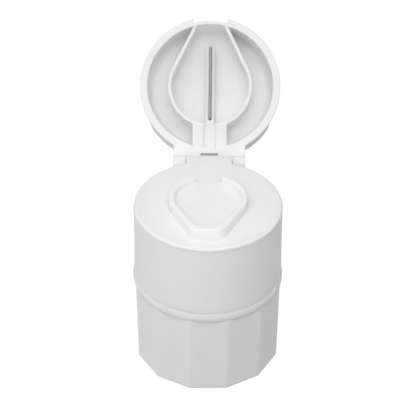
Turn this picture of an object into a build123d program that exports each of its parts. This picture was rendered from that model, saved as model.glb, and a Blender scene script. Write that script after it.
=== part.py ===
from build123d import *
import math
import os

# Pill crusher: a faceted grinding cup, a hollow barrel that screws into it, a pill seat on top of the
# barrel, and a hinged lid with a blade that halves the pill on the seat.
#
# Millimetres. +Z is up and -Y is the front. The origin is the centre of the cup's underside.
# The barrel is screwed fully down, and the lid stands open, leaning back on its stop.

# ---- Driving dimensions ---------------------------------------------------------------------------

deck_top = 57.9              # the flat surface round the pill seat
deck_radius = 23.6
deck_edge = 1.0              # visible thickness of the deck's edge
deck_round = 0.85
cup_mouth = 32.15            # top of the bead round the cup
shoulder = 32.18             # underside of the barrel's shoulder, just clear of the bead
lid_open_angle = 135.0       # degrees from closed to the stop
lid_depth = 12.0
slip_fit = 0.05              # radial clearance of a sliding or turning fit
plug_fit = 0.03              # radial clearance between pieces that stay together

# Cup
facet_count = 12
facet_turn = 1.6             # degrees that the facets are turned from the deck's front
facet_foot_radius = 23.3     # across the corners at the underside
facet_draft = 1.05           # degrees, wider towards the top
facet_corner = 1.2           # rounding of the upright corners
facet_foot_round = 1.3       # rounding round the underside
facet_top = 30.3             # hidden inside the bead
bead_radius = 24.0
bead_foot = 28.5
bead_foot_step = 0.6         # how far the bead swells out from its foot
bead_mouth_step = 0.28       # how far it draws in again at the mouth
cup_floor = 2.0
chamber_radius = 20.7        # grinding chamber below the thread
thread_bore = 21.5
thread_bore_foot = 10.0
seal_pocket_radius = 22.8
seal_seat = 30.9

# Thread between cup and barrel
thread_pitch = 4.0
ridge_height = 1.1
ridge_root = 1.9             # width of a ridge where it meets the wall
ridge_crest = 0.8
ridge_bite = 0.2             # how far a ridge is rooted in its wall
neck_ridge_foot = 12.2
neck_ridge_turns = 3.75
cup_ridge_foot = neck_ridge_foot + 1.5 * thread_pitch      # midway between the neck's turns
cup_ridge_turns = 2.45

# Barrel
barrel_top_radius = 23.5
barrel_foot_radius = 23.6
barrel_wall = 1.85
store_floor = 35.0
web_foot = 33.4              # underside of the storage floor
collar_radius = 21.2
collar_foot = 29.0
neck_radius = 20.15
neck_bore = 18.4
neck_foot = 6.6
barrel_top_round = 0.4

# Crusher head
tooth_count = 12
tooth_height = 1.0
tooth_width = 1.8
tooth_inner = 2.5
tooth_outer = 18.0
grind_gap = 0.3              # between the two rings of teeth when screwed down
head_radius = 20.0
head_plug_height = 2.6
head_plug_wall = 2.0

# Deck
plug_depth = 5.0
plug_wall = 1.4
deck_plate = 2.0
seat_radius = 12.65          # round end of the seat, at the deck
seat_nose = 19.0             # front of the seat, from the axis
seat_nose_half = 4.7
seat_nose_round = 4.2
seat_height = 3.2
crest_radius = 12.45         # the raised rim, outside
crest_nose = 17.6
crest_nose_round = 3.0
crest_round = 0.7            # rounding of the rim's edges
pocket_radius = 10.85        # the pocket inside it
pocket_nose = 15.0
pocket_nose_half = 4.0
pocket_nose_round = 2.4
pocket_depth = 1.9
pocket_draft = 20.0          # degrees from upright
blade_gate = 8.4             # opening in the rim behind the pill, for the blade

# Hinge
hinge_y = 27.1
hinge_drop = 4.1             # pin axis below the deck
knuckle_radius = 2.95
tongue_half = 7.4
tongue_flat_end = 24.9
tongue_back_face = 24.2      # upright face that clears the barrel
tongue_web_angle = 110.0     # degrees below the front of the knuckle where the tongue's web meets it
tongue_web_drop = 2.2        # below the pin, where the web meets the upright face
lug_inner = 7.6
lug_outer = 11.8
pin_radius = 1.1
pin_half = 11.5
pin_chamfer = 0.2
stop_half = 5.0
stop_near = 1.5              # stop rib, from the pin's axis towards the lid's plate
stop_far = 6.4
stop_slope = 0.4             # its back slopes by this much either side of the pin's level

# Lid
lid_gap = 0.1                # between rim and deck when closed
lid_rim_radius = 23.2
lid_top_radius = 22.0
lid_inner_radius = 20.85
lid_inner_foot = 20.4
lid_back_start = 12.0        # from here to the hinge the outer wall is nearly straight
lid_plate = 1.5
lid_top_round = 1.5
lid_back_round = 0.6         # the straight wall stops this far short of the top
lid_back_draft = 1.5         # degrees
lid_rim_round = 0.25
lid_root_round = 2.0         # inside, between wall and plate
weld = 0.2                   # overlap that joins ribs to the plate and the walls
thumb_width = 11.3
thumb_radius = 21.8
thumb_depth = 7.0
rib_radius = 13.35           # centre line of the teardrop rib's round end
rib_nose_half = 4.8
rib_nose = 20.7
rib_thickness = 1.15
rib_top = 0.35               # below the rim's plane
rib_round = 0.3
block_inner = 2.0
block_outer = 5.7
block_front = 12.65          # within the rib's round end
block_sink = 2.0             # the blocks slope down to here, below the rim's plane, at the wall
block_round = 0.4
channel_deep = 4.4           # channel between the blocks: depth at the rib, and at the wall
channel_shallow = 2.9
ramp_top_radius = 20.8       # sloping wall at the front, between the rib's legs
ramp_foot_radius = 19.5
web_end = 25.4               # bridge between the lugs, from the lid's axis
web_height = 3.5             # thickness of the bridge at its end
web_root = 6.0               # and where it leaves the lid's wall
lug_root = 17.0              # where the lugs and the bridge begin, inside the wall
lug_front = 23.3             # where a lug slopes down from the rim's plane to its knuckle
lug_back_drop = 1.0          # the lug's back is straight up to here, short of the rim's plane
lug_back_end = 26.0          # then slopes to here, from the lid's axis
lug_back_height = 4.5
slot_half = 2.85
slot_start = 22.6
slot_end = 24.3
slot_depth = 3.5

# Blade and its holder, in the lid
blade_front = 14.0
blade_back = 10.3
blade_thickness = 0.5
blade_tip = 0.08             # width left at the cutting edge
blade_edge = 2.0             # cutting edge below the rim's plane
blade_bevel = 1.4
blade_spine = 8.2
holder_top = 4.4
holder_width = 2.7
holder_margin = 0.5
holder_back = 12.65          # rear end, just clear of the rib
holder_slot = 0.9
holder_slot_depth = 1.4
holder_slot_end = 0.5        # the slot's run past the rear of the blade
peg_radius = 0.9
peg_length = 1.0
peg_reach = 8.0

# ---- Derived dimensions and frames ----------------------------------------------------------------

barrel_top = deck_top - deck_edge
store_radius = barrel_top_radius - barrel_wall
plug_radius = store_radius - slip_fit
floor_tooth_top = cup_floor + tooth_height
head_tooth_foot = floor_tooth_top + grind_gap
head_face = head_tooth_foot + tooth_height
lid_floor = lid_depth - lid_plate

opened = math.radians(lid_open_angle)
hinge_point = Vector(0, hinge_y, deck_top - hinge_drop)
into_lid = Vector(0, math.sin(opened), math.cos(opened))       # from the rim's plane to the lid's plate
to_hinge = Vector(0, math.cos(opened), -math.sin(opened))      # from the lid's axis to the hinge
rim_rise = hinge_drop + lid_gap                                # rim's plane above the pin, when closed
lid_origin = hinge_point - to_hinge * hinge_y + into_lid * rim_rise

# x is the object's +X in all three; y runs to the hinge, or into the lid.
lid_plane = Plane(origin=lid_origin, x_dir=(1, 0, 0), z_dir=into_lid)
lid_section = Plane(origin=lid_origin, x_dir=(1, 0, 0), z_dir=to_hinge * -1)
lid_axis = Axis(lid_origin, into_lid)
# x runs to the hinge and y into the lid.
lid_side = Plane(origin=lid_origin, x_dir=to_hinge, z_dir=(1, 0, 0))


def tangent_angle(radius, half_width, reach):
    """Angle from the front at which a leg to (half_width, -reach) leaves a circle, in degrees."""
    distance = math.hypot(half_width, reach)
    return math.degrees(math.atan2(half_width, reach) + math.acos(radius / distance))


def teardrop(radius, half_width, reach):
    """Lines of a teardrop outline: a round end towards +Y and two legs that narrow to the front."""
    leave = tangent_angle(radius, half_width, reach)
    CenterArc((0, 0), radius, leave - 90, 360 - 2 * leave)
    for side in (-1, 1):
        touch = (
            side * radius * math.sin(math.radians(leave)),
            -radius * math.cos(math.radians(leave)),
        )
        Line(touch, (side * half_width, -reach))


def closed_teardrop(radius, half_width, reach, corner):
    """A teardrop face with a flat, rounded front."""
    with BuildSketch() as outline:
        with BuildLine():
            teardrop(radius, half_width, reach)
            Line((-half_width, -reach), (half_width, -reach))
        make_face()
        fillet([point for point in vertices() if point.Y < 0.01 - reach], corner)
    return outline.sketch


def thread_ridge(wall_radius, outward, foot, turns):
    """One helical ridge on a wall: outward on the barrel's neck, inward in the cup's bore."""
    sign = 1 if outward else -1
    helix = Helix(
        pitch=thread_pitch, height=turns * thread_pitch, radius=wall_radius, center=(0, 0, foot)
    )
    profile_plane = Plane(origin=helix @ 0, x_dir=(sign, 0, 0), z_dir=helix % 0)
    with BuildPart() as ridge:
        with BuildSketch(profile_plane):
            Polygon(
                (-ridge_bite, -ridge_root / 2),
                (ridge_height, -ridge_crest / 2),
                (ridge_height, ridge_crest / 2),
                (-ridge_bite, ridge_root / 2),
                align=None,
            )
        sweep(path=helix, is_frenet=True)
    return ridge.part


def long_box(front, back, width):
    """Add a rectangle to the sketch, from y = front to y = back, centred on x = 0."""
    with Locations((0, (front + back) / 2)):
        Rectangle(width, back - front)


def outer_circle(piece, height):
    """The widest circular edge of a turned piece at one height."""
    circles = piece.edges().filter_by(GeomType.CIRCLE)
    level = [edge for edge in circles if abs(edge.center().Z - height) < 0.01]
    return max(level, key=lambda edge: edge.radius)


def grinding_teeth(face, toward):
    """A ring of radial teeth standing on a face, towards +Z (1) or -Z (-1)."""
    with BuildPart() as teeth:
        with BuildSketch(Plane.XZ.offset(-tooth_inner)):
            with Locations((0, face)):
                Polygon(
                    (-tooth_width / 2, -toward * ridge_bite),
                    (-tooth_width / 2, 0),
                    (-tooth_width / 6, toward * tooth_height),
                    (tooth_width / 6, toward * tooth_height),
                    (tooth_width / 2, 0),
                    (tooth_width / 2, -toward * ridge_bite),
                    align=None,
                )
        extrude(amount=-(tooth_outer - tooth_inner))
    return [teeth.part.rotate(Axis.Z, step * 360 / tooth_count) for step in range(tooth_count)]


# ---- Cup ------------------------------------------------------------------------------------------

with BuildPart() as cup:
    with BuildSketch():
        RegularPolygon(facet_foot_radius, facet_count, rotation=180 / facet_count + facet_turn)
    extrude(amount=facet_top, taper=-facet_draft)
    fillet(cup.faces().sort_by(Axis.Z)[0].edges(), facet_foot_round)
    fillet([edge for edge in cup.edges() if abs(edge.tangent_at(0.5).Z) > 0.9], facet_corner)

    # Round bead that overhangs the facets at the mouth.
    with BuildSketch(Plane.XZ):
        with BuildLine():
            Polyline(
                (chamber_radius, cup_mouth),
                (chamber_radius, bead_foot),
                (bead_radius - bead_foot_step, bead_foot),
            )
            ThreePointArc(
                (bead_radius - bead_foot_step, bead_foot),
                (bead_radius, (bead_foot + cup_mouth) / 2),
                (bead_radius - bead_mouth_step, cup_mouth),
            )
            Line((bead_radius - bead_mouth_step, cup_mouth), (chamber_radius, cup_mouth))
        make_face()
    revolve(axis=Axis.Z)

    # Grinding chamber, threaded bore and the pocket for the seal ring.
    with BuildSketch(Plane.XZ):
        with BuildLine():
            Polyline(
                (0, cup_floor),
                (chamber_radius, cup_floor),
                (chamber_radius, thread_bore_foot),
                (thread_bore, thread_bore_foot + (thread_bore - chamber_radius)),
                (thread_bore, seal_seat),
                (seal_pocket_radius, seal_seat),
                (seal_pocket_radius, cup_mouth + 1),
                (0, cup_mouth + 1),
                (0, cup_floor),
            )
        make_face()
    revolve(axis=Axis.Z, mode=Mode.SUBTRACT)
    add(grinding_teeth(cup_floor, 1))
    add(thread_ridge(thread_bore, False, cup_ridge_foot, cup_ridge_turns))
cup.part.label = "cup"

# ---- Seal ring ------------------------------------------------------------------------------------

with BuildPart() as seal_ring:
    with BuildSketch(Plane.XY.offset(seal_seat)):
        Circle(seal_pocket_radius - slip_fit)
        Circle(collar_radius + slip_fit, mode=Mode.SUBTRACT)
    extrude(amount=shoulder - seal_seat)
seal_ring.part.label = "seal_ring"

# ---- Barrel ---------------------------------------------------------------------------------------

with BuildPart() as barrel:
    with BuildSketch(Plane.XZ):
        with BuildLine():
            Polyline(
                (0, web_foot),
                (neck_bore, web_foot),
                (neck_bore, neck_foot),
                (neck_radius, neck_foot),
                (neck_radius, collar_foot),
                (collar_radius, collar_foot + (collar_radius - neck_radius)),
                (collar_radius, shoulder),
                (barrel_foot_radius, shoulder),
                (barrel_top_radius, barrel_top),
                (store_radius, barrel_top),
                (store_radius, store_floor),
                (0, store_floor),
                (0, web_foot),
            )
        make_face()
    revolve(axis=Axis.Z)
    add(thread_ridge(neck_radius, True, neck_ridge_foot, neck_ridge_turns))
    fillet(outer_circle(barrel, barrel_top), barrel_top_round)
barrel.part.label = "barrel"

# ---- Crusher head ---------------------------------------------------------------------------------

with BuildPart() as crusher_head:
    with BuildSketch(Plane.XY.offset(head_face)):
        Circle(head_radius)
    extrude(amount=neck_foot - head_face)
    with BuildSketch(Plane.XY.offset(neck_foot)):
        Circle(neck_bore - plug_fit)
        Circle(neck_bore - plug_fit - head_plug_wall, mode=Mode.SUBTRACT)
    extrude(amount=head_plug_height)
    add(grinding_teeth(head_face, -1))
crusher_head.part.label = "crusher_head"

# ---- Deck -----------------------------------------------------------------------------------------

# The tongue's top slopes down to touch the knuckle's circle.
slope_start = Vector(0, tongue_flat_end, deck_top) - hinge_point
tongue_tangent = math.degrees(
    math.atan2(slope_start.Z, slope_start.Y) - math.acos(knuckle_radius / slope_start.length)
)


def on_knuckle(angle):
    """Point of the knuckle's outline, as (y, z), at an angle up from the rear."""
    return (
        hinge_point.Y + knuckle_radius * math.cos(math.radians(angle)),
        hinge_point.Z + knuckle_radius * math.sin(math.radians(angle)),
    )


with BuildPart() as deck:
    # Plate, and the plug ring that slides into the barrel.
    with BuildSketch(Plane.XZ):
        with BuildLine():
            Polyline(
                (0, deck_top),
                (deck_radius, deck_top),
                (deck_radius, barrel_top),
                (plug_radius, barrel_top),
                (plug_radius, barrel_top - plug_depth),
                (plug_radius - plug_wall, barrel_top - plug_depth),
                (plug_radius - plug_wall, deck_top - deck_plate),
                (0, deck_top - deck_plate),
                (0, deck_top),
            )
        make_face()
    revolve(axis=Axis.Z)
    fillet(deck.edges().group_by(Axis.Z)[-1], deck_round)

    # Pill seat: a teardrop block with sloping sides, a rounded rim and a shallow pocket.
    with BuildSketch(Plane.XY.offset(deck_top)):
        add(closed_teardrop(seat_radius, seat_nose_half, seat_nose, seat_nose_round))
    with BuildSketch(Plane.XY.offset(deck_top + seat_height)):
        add(closed_teardrop(crest_radius, seat_nose_half, crest_nose, crest_nose_round))
    loft(ruled=True)
    with BuildSketch(Plane.XY.offset(deck_top + seat_height)):
        add(closed_teardrop(pocket_radius, pocket_nose_half, pocket_nose, pocket_nose_round))
    extrude(amount=-pocket_depth, taper=pocket_draft, mode=Mode.SUBTRACT)
    fillet(deck.edges().group_by(Axis.Z)[-1], crest_round)
    with BuildSketch(Plane.XY.offset(deck_top + seat_height - pocket_depth)):
        with Locations((0, seat_radius)):
            Rectangle(blade_gate, seat_radius / 2)
    extrude(amount=pocket_depth + 1, mode=Mode.SUBTRACT)

    # Tongue behind the deck, with the knuckle that the hinge pin turns in.
    with BuildSketch(Plane.YZ):
        Polygon(
            (plug_radius - 1, deck_top),
            (tongue_flat_end, deck_top),
            on_knuckle(tongue_tangent),
            (hinge_point.Y, hinge_point.Z),
            on_knuckle(-tongue_web_angle),
            (tongue_back_face, hinge_point.Z - tongue_web_drop),
            (tongue_back_face, barrel_top),
            (plug_radius - 1, barrel_top),
            align=None,
        )
        with Locations((hinge_point.Y, hinge_point.Z)):
            Circle(knuckle_radius)
    extrude(amount=tongue_half, both=True)

    # Stop rib under the knuckle: the lid's bridge comes to rest on it.
    stop_top = hinge_y - web_end - slip_fit
    stop_plane = Plane(origin=hinge_point, x_dir=into_lid, z_dir=(1, 0, 0))
    with BuildSketch(stop_plane):
        Polygon(
            (stop_near, -stop_slope),
            (stop_far, stop_slope),
            (stop_far, -stop_top),
            (stop_near, -stop_top),
            align=None,
        )
    extrude(amount=stop_half, both=True)
    with BuildSketch(Plane.YZ):
        with Locations((hinge_point.Y, hinge_point.Z)):
            Circle(pin_radius + slip_fit)
    extrude(amount=tongue_half + 1, both=True, mode=Mode.SUBTRACT)
deck.part.label = "deck"

# ---- Lid ------------------------------------------------------------------------------------------

# A channel for the blade cuts through the rib's round end and rises to the rim behind it.
with BuildSketch(lid_side) as channel:
    Polygon(
        (rib_radius - rib_thickness, -1),
        (rib_radius - rib_thickness, channel_deep),
        (lid_inner_radius, channel_shallow),
        (lid_inner_radius, -1),
        align=None,
    )

with BuildPart() as lid_rib:
    with BuildSketch(lid_plane.offset(rib_top)):
        with BuildLine():
            teardrop(rib_radius, rib_nose_half, rib_nose)
        trace(line_width=rib_thickness)
    extrude(amount=lid_floor - rib_top + weld)
    fillet(lid_rib.edges().group_by(lid_axis)[0], rib_round)
    extrude(channel.sketch, amount=block_inner, both=True, mode=Mode.SUBTRACT)

# Two blocks, one each side of the channel, that slope down from the rib to the wall.
block_slope = to_hinge * (lid_inner_radius - block_front) + into_lid * (block_sink - rib_top)
with BuildPart() as lid_blocks:
    with BuildSketch(lid_side):
        Polygon(
            (block_front, rib_top),
            (lid_inner_radius, block_sink),
            (lid_inner_radius, lid_floor + weld),
            (block_front, lid_floor + weld),
            align=None,
        )
    extrude(amount=block_outer, both=True)
    extrude(channel.sketch, amount=block_inner, both=True, mode=Mode.SUBTRACT)
    fillet(lid_blocks.edges().filter_by(Axis(lid_origin, block_slope)), block_round)

with BuildPart() as lid:
    with BuildSketch(lid_section):
        Polygon((0, 0), (lid_rim_radius, 0), (lid_top_radius, lid_depth), (0, lid_depth), align=None)
        fillet(vertices().sort_by_distance((lid_top_radius, lid_depth))[0], lid_top_round)
        fillet(vertices().sort_by_distance((lid_rim_radius, 0))[0], lid_rim_round)
    revolve(axis=lid_axis)

    # Hinge side: a straight wall, two lugs that hold the pin, and a bridge between the lugs.
    with BuildSketch(lid_plane.offset(lid_rim_round)):
        Circle(lid_rim_radius)
        with Locations((0, lid_back_start - lid_rim_radius)):
            Rectangle(2 * lid_rim_radius, 2 * lid_rim_radius, mode=Mode.SUBTRACT)
    extrude(amount=lid_depth - lid_rim_round - lid_back_round, taper=lid_back_draft)
    with BuildSketch(lid_side):
        Polygon(
            (lug_root, 0),
            (lug_front, 0),
            (hinge_y - knuckle_radius, -rim_rise),
            (hinge_y + knuckle_radius, -rim_rise),
            (hinge_y + knuckle_radius, -lug_back_drop),
            (lug_back_end, lug_back_height),
            (lug_root, web_root),
            align=None,
        )
        with Locations((hinge_y, -rim_rise)):
            Circle(knuckle_radius)
    extrude(amount=lug_outer, both=True)
    with BuildSketch(lid_side):
        with Locations((hinge_y, 0)):
            Rectangle(2 * hinge_y - 2 * lid_rim_radius, 4 * lid_depth)
    extrude(amount=lug_inner, both=True, mode=Mode.SUBTRACT)
    with BuildSketch(lid_side):
        Polygon(
            (lug_root, 0),
            (web_end, 0),
            (web_end, web_height),
            (lug_root, web_root),
            align=None,
        )
    extrude(amount=lug_inner, both=True)

    # Inside of the cap.
    with BuildSketch(lid_section):
        Polygon((0, -1), (lid_inner_radius, -1), (lid_inner_foot, lid_floor), (0, lid_floor), align=None)
        fillet(vertices().sort_by_distance((lid_inner_foot, lid_floor))[0], lid_root_round)
    revolve(axis=lid_axis, mode=Mode.SUBTRACT)

    # Thumb recess at the front.
    with BuildSketch(lid_plane):
        with Locations((0, -lid_rim_radius)):
            Rectangle(thumb_width, lid_rim_radius / 4)
        Circle(thumb_radius, mode=Mode.SUBTRACT)
    extrude(amount=thumb_depth, mode=Mode.SUBTRACT)

    # Teardrop rib and blocks, and the sloping wall at the rib's nose.
    add([lid_rib.part, lid_blocks.part])
    with BuildSketch(lid_side):
        Polygon(
            (-ramp_top_radius, rib_top),
            (-ramp_foot_radius, lid_floor + weld),
            (weld - thumb_radius, lid_floor + weld),
            (weld - thumb_radius, rib_top),
            align=None,
        )
    extrude(amount=rib_nose_half, both=True)

    # Narrow slot in the bridge, behind the knuckle.
    with BuildSketch(lid_plane):
        with Locations((0, (slot_start + slot_end) / 2)):
            Rectangle(2 * slot_half, slot_end - slot_start)
    extrude(amount=slot_depth, mode=Mode.SUBTRACT)

    # Bore for the pin, and two blind holes for the pegs of the blade holder.
    with BuildSketch(lid_side):
        with Locations((hinge_y, -rim_rise)):
            Circle(pin_radius + plug_fit)
    extrude(amount=lug_outer + 1, both=True, mode=Mode.SUBTRACT)
    with BuildSketch(lid_plane.offset(lid_floor)):
        with Locations((0, -peg_reach), (0, peg_reach)):
            Circle(peg_radius + plug_fit)
    extrude(amount=peg_length, mode=Mode.SUBTRACT)
lid.part.label = "lid"

# ---- Blade, holder and pin ------------------------------------------------------------------------

with BuildPart() as blade_holder:
    with BuildSketch(lid_plane.offset(holder_top)):
        long_box(-blade_front - holder_margin, holder_back, holder_width)
    extrude(amount=lid_floor - holder_top)
    with BuildSketch(lid_plane.offset(lid_floor)):
        with Locations((0, -peg_reach), (0, peg_reach)):
            Circle(peg_radius)
    extrude(amount=peg_length - plug_fit)
    with BuildSketch(lid_plane.offset(holder_top)):
        long_box(-blade_front - plug_fit, blade_back + holder_slot_end, holder_slot)
    extrude(amount=holder_slot_depth, mode=Mode.SUBTRACT)
    with BuildSketch(lid_plane.offset(holder_top)):
        long_box(-blade_front - plug_fit, blade_back + plug_fit, blade_thickness + 2 * plug_fit)
    extrude(amount=blade_spine - holder_top + plug_fit, mode=Mode.SUBTRACT)
blade_holder.part.label = "blade_holder"

with BuildPart() as blade:
    with BuildSketch(lid_section.offset(blade_front)):
        Polygon(
            (-blade_thickness / 2, blade_spine),
            (-blade_thickness / 2, blade_edge + blade_bevel),
            (-blade_tip / 2, blade_edge),
            (blade_tip / 2, blade_edge),
            (blade_thickness / 2, blade_edge + blade_bevel),
            (blade_thickness / 2, blade_spine),
            align=None,
        )
    extrude(amount=-(blade_front + blade_back))
blade.part.label = "blade"

with BuildPart() as hinge_pin:
    with BuildSketch(Plane.YZ.offset(-pin_half)):
        with Locations((hinge_point.Y, hinge_point.Z)):
            Circle(pin_radius)
    extrude(amount=2 * pin_half)
    chamfer(hinge_pin.edges(), pin_chamfer)
hinge_pin.part.label = "hinge_pin"

# ---- Export ---------------------------------------------------------------------------------------

os.makedirs("parts", exist_ok=True)
for piece in (cup, seal_ring, barrel, crusher_head, deck, lid, blade_holder, blade, hinge_pin):
    export_step(piece.part, f"parts/{piece.part.label}.step")
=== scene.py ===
import math
import bpy
from mathutils import Matrix, Vector


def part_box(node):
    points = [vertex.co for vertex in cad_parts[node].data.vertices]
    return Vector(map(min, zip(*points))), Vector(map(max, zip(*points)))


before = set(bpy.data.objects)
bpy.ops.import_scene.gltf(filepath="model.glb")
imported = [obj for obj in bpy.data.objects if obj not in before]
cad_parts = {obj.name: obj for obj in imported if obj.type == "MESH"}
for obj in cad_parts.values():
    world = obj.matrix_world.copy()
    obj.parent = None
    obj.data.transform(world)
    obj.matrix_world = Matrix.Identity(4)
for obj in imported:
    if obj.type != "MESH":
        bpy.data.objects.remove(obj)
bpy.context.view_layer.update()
MM = 0.001


# ---- Camera ---------------------------------------------------------------------------------------

def make_camera():
    """A long lens, above and in front."""
    azimuth, elevation, roll = math.radians(0.46), math.radians(36.66), math.radians(0.38)
    distance = 733.9 * MM
    aim_left, aim_drop = 0.05 * MM, 0.6 * MM
    aim = Vector((-aim_left, 0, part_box("barrel")[1].z - aim_drop))
    back = Vector(
        (
            math.sin(azimuth) * math.cos(elevation),
            -math.cos(azimuth) * math.cos(elevation),
            math.sin(elevation),
        )
    )
    level = Vector((math.cos(azimuth), math.sin(azimuth), 0))
    above = back.cross(level)
    right = level * math.cos(roll) + above * math.sin(roll)
    up = above * math.cos(roll) - level * math.sin(roll)
    data = bpy.data.cameras.new("camera")
    data.sensor_width = 36
    data.lens = 200.8
    camera = bpy.data.objects.new("camera", data)
    bpy.context.scene.collection.objects.link(camera)
    turn = Matrix((right, up, back)).transposed().to_4x4()
    camera.matrix_world = Matrix.Translation(aim + back * distance) @ turn
    bpy.context.scene.camera = camera


make_camera()


# ---- Materials ------------------------------------------------------------------------------------

class Nodes:
    """The nodes of a material or a world, and short calls that add to them."""

    def __init__(self, owner):
        owner.use_nodes = True
        self.tree = owner.node_tree
        self.place = self.add("ShaderNodeTexCoord").outputs

    def put(self, socket, value):
        """Link the socket to value if value is a node's output, or else set it."""
        if isinstance(value, bpy.types.NodeSocket):
            self.tree.links.new(value, socket)
        else:
            socket.default_value = value

    def add(self, kind, **inputs):
        node = self.tree.nodes.new(kind)
        for name, value in inputs.items():
            self.put(node.inputs[name], value)
        return node

    def skin(self, name, value):
        """Set or link one input of the material's shader."""
        self.put(self.tree.nodes["Principled BSDF"].inputs[name], value)

    def noise(self, scale, detail=3.0, stretch=(1, 1, 1)):
        """Noise of about scale blobs a metre.

        A stretch under 1 draws the blobs out along its axis, and one over 1 squeezes them.
        """
        mapping = self.add("ShaderNodeMapping", Vector=self.place["Object"], Scale=stretch)
        return self.add(
            "ShaderNodeTexNoise", Vector=mapping.outputs["Vector"], Scale=scale, Detail=detail
        ).outputs["Fac"]

    def span(self, value, low=0, high=1, start=0.3, end=0.7):
        """Spread value, from start to end, over low to high."""
        node = self.add("ShaderNodeMapRange", Value=value)
        for socket, limit in zip(("From Min", "From Max", "To Min", "To Max"), (start, end, low, high)):
            self.put(node.inputs[socket], limit)
        return node.outputs["Result"]

    def sum(self, first, second, share=1.0):
        """first plus a share of second."""
        node = self.add("ShaderNodeMath")
        node.operation = "MULTIPLY_ADD"
        for socket, value in zip(node.inputs, (second, share, first)):
            self.put(socket, value)
        return node.outputs[0]

    def mix(self, factor, first, second):
        """A colour between first and second."""
        node = self.add("ShaderNodeMix", Factor=factor)
        node.data_type = "RGBA"
        first_colour, second_colour, result_colour = 6, 7, 2
        self.put(node.inputs[first_colour], first)
        self.put(node.inputs[second_colour], second)
        return node.outputs[result_colour]

    def bump(self, height, distance, strength):
        node = self.add("ShaderNodeBump", Height=height, Distance=distance, Strength=strength)
        self.skin("Normal", node.outputs["Normal"])


def grey(tone):
    return (tone, tone, tone, 1)


def moulded_plastic(name, tone, roughness, flow, grain):
    """White polypropylene: faint clouds and flow lines, a satin skin with fine grain, and light scuffs.

    flow stretches the flow lines the way the plastic ran, and grain is the depth of the skin's texture.
    """
    cloudy_tone = tone * 0.972
    satin_spread = 0.05
    scuff_roughness = 0.09
    scuff_stretch = (1, 0.16, 0.4)
    material = bpy.data.materials.new(name)
    m = Nodes(material)
    clouds = m.noise(scale=70)
    lines = m.noise(scale=260, detail=2, stretch=flow)
    shade = m.span(m.sum(clouds, lines, share=0.5), start=0.5, end=1.0)
    m.skin("Base Color", m.mix(shade, grey(tone), grey(cloudy_tone)))
    scuffs = m.span(m.noise(scale=420, detail=5, stretch=scuff_stretch), start=0.62, end=0.7)
    satin = m.span(m.noise(scale=850, detail=4), roughness - satin_spread, roughness + satin_spread)
    m.skin("Roughness", m.sum(satin, scuffs, share=scuff_roughness))
    m.skin("IOR", 1.49)
    m.skin("Subsurface Weight", 0.4)
    m.skin("Subsurface Radius", (1.0, 0.95, 0.9))
    m.skin("Subsurface Scale", 2 * MM)
    skin = m.sum(m.noise(scale=4200, detail=2), lines, share=0.35)
    m.bump(m.sum(skin, scuffs, share=-0.3), distance=grain, strength=0.35)
    return material


def ground_steel(name, tone, roughness, along):
    """Steel with fine grinding lines; along stretches them the way the wheel ran."""
    dull_tone = tone * 0.78
    smoothest, roughest = roughness - 0.06, roughness + 0.08
    material = bpy.data.materials.new(name)
    m = Nodes(material)
    lines = m.noise(scale=5200, detail=4, stretch=along)
    patches = m.noise(scale=240)
    m.skin("Metallic", 1.0)
    shade = m.span(m.sum(patches, lines, share=0.6), start=0.55, end=1.05)
    m.skin("Base Color", m.mix(shade, grey(tone), grey(dull_tone)))
    wear = m.sum(lines, patches, share=0.4)
    m.skin("Roughness", m.span(wear, smoothest, roughest, start=0.45, end=0.95))
    m.bump(lines, distance=0.006 * MM, strength=0.5)
    return material


def silicone(name, tone):
    """Soft matte rubber with a dusty skin."""
    dusty_tone = tone * 0.93
    smoothest, roughest = 0.55, 0.7
    material = bpy.data.materials.new(name)
    m = Nodes(material)
    dust = m.noise(scale=900, detail=5)
    m.skin("Base Color", m.mix(m.span(dust), grey(tone), grey(dusty_tone)))
    m.skin("Roughness", m.span(m.noise(scale=2500), smoothest, roughest))
    m.skin("Sheen Weight", 0.15)
    m.bump(dust, distance=0.02 * MM, strength=0.3)
    return material


def paint(node, material):
    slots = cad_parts[node].data.materials
    slots.clear()
    slots.append(material)


upright = (1, 1, 0.07)
flat = (1, 1, 6)
outward = (0.35, 0.35, 1)
blade_length = (0.08, 1, 1)
pin_length = (0.05, 1, 1)
fine, light, medium, coarse = 0.008 * MM, 0.01 * MM, 0.012 * MM, 0.014 * MM
# The cup's tone sits a little under the barrel's: painted shade for the dimmer light low down, near the
# floor.
paint("cup", moulded_plastic("cup_plastic", tone=0.92, roughness=0.4, flow=upright, grain=coarse))
paint("barrel", moulded_plastic("barrel_plastic", tone=0.93, roughness=0.38, flow=upright, grain=light))
paint("crusher_head", moulded_plastic("head_plastic", tone=0.92, roughness=0.42, flow=outward, grain=medium))
paint("deck", moulded_plastic("deck_plastic", tone=0.93, roughness=0.42, flow=outward, grain=coarse))
paint("lid", moulded_plastic("lid_plastic", tone=0.93, roughness=0.4, flow=flat, grain=light))
paint("blade_holder", moulded_plastic("holder_plastic", tone=0.93, roughness=0.36, flow=flat, grain=fine))
paint("seal_ring", silicone("seal_rubber", tone=0.78))
paint("blade", ground_steel("blade_steel", tone=0.46, roughness=0.3, along=blade_length))
paint("hinge_pin", ground_steel("pin_steel", tone=0.55, roughness=0.32, along=pin_length))


# ---- Stage ----------------------------------------------------------------------------------------

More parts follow.
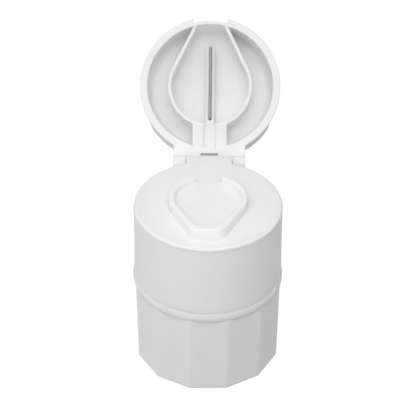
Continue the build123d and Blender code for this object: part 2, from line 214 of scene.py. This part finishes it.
def make_floor():
    """A white floor that only the camera sees, evenly lit. Its bounce light is part of the world."""
    half = 4.0
    material = bpy.data.materials.new("floor")
    m = Nodes(material)
    m.skin("Base Color", grey(0.0))
    m.skin("Specular IOR Level", 0.0)
    m.skin("Emission Color", grey(1.0))
    m.skin("Emission Strength", 1.02)
    corners = [(-half, -half, 0), (half, -half, 0), (half, half, 0), (-half, half, 0)]
    mesh = bpy.data.meshes.new("floor")
    mesh.from_pydata(corners, [], [(0, 1, 2, 3)])
    mesh.materials.append(material)
    floor = bpy.data.objects.new("floor", mesh)
    floor.visible_diffuse = False
    floor.visible_glossy = False
    floor.visible_shadow = False
    bpy.context.scene.collection.objects.link(floor)


def make_light(name, place, aim, size, power):
    """A round soft box at place, pointed at aim."""
    data = bpy.data.lights.new(name, "AREA")
    data.shape = "DISK"
    data.size = size
    data.energy = power
    light = bpy.data.objects.new(name, data)
    light.location = place
    light.rotation_euler = (Vector(aim) - Vector(place)).to_track_quat("-Z", "Y").to_euler()
    bpy.context.scene.collection.objects.link(light)


def make_world(glows):
    """A white studio, lit by the sum of the glows.

    Each glow is a strength and the slopes of direction it is multiplied by. A slope is an axis, where
    along it the light starts, and where it is full.
    """
    world = bpy.data.worlds.new("studio")
    w = Nodes(world)
    direction = w.add("ShaderNodeSeparateXYZ", Vector=w.place["Generated"]).outputs
    total = 0
    for glow, *slopes in glows:
        for axis, start, full in slopes:
            glow = w.span(direction[axis], high=glow, start=start, end=full)
        total = w.sum(total, glow)
    background = w.tree.nodes["Background"].inputs
    w.put(background["Color"], grey(1.0))
    w.put(background["Strength"], total)
    bpy.context.scene.world = world


make_floor()

# Slopes of direction: above and below change over a few degrees at the horizon.
above, below = ("Z", -0.02, 0.02), ("Z", 0.02, -0.02)
high, straight_up = ("Z", 0.4, 1), ("Z", 0.8, 1)
leftward, rightward = ("X", 0, -1), ("X", 0, 1)
frontward, backward = ("Y", 0, -1), ("Y", 0, 1)

left_wall, right_wall = (0.68, above, leftward), (0.49, above, rightward)
ceiling, overhead = (0.8, high), (0.36, straight_up)
front_floor, back_floor = (0.5, below, frontward), (0.7, below, backward)
left_floor, right_floor = (0.66, below, leftward), (0.36, below, rightward)
make_world((left_wall, right_wall, ceiling, overhead, front_floor, back_floor, left_floor, right_floor))
make_light("key", place=(0, -0.9, 1.3), aim=(0, 0, 0.05), size=1.0, power=5.0)
make_light("near", place=(-0.02, -0.15, 0.13), aim=(0, 0, 0.045), size=0.1, power=0.05)
bpy.context.scene.view_settings.view_transform = "Standard"
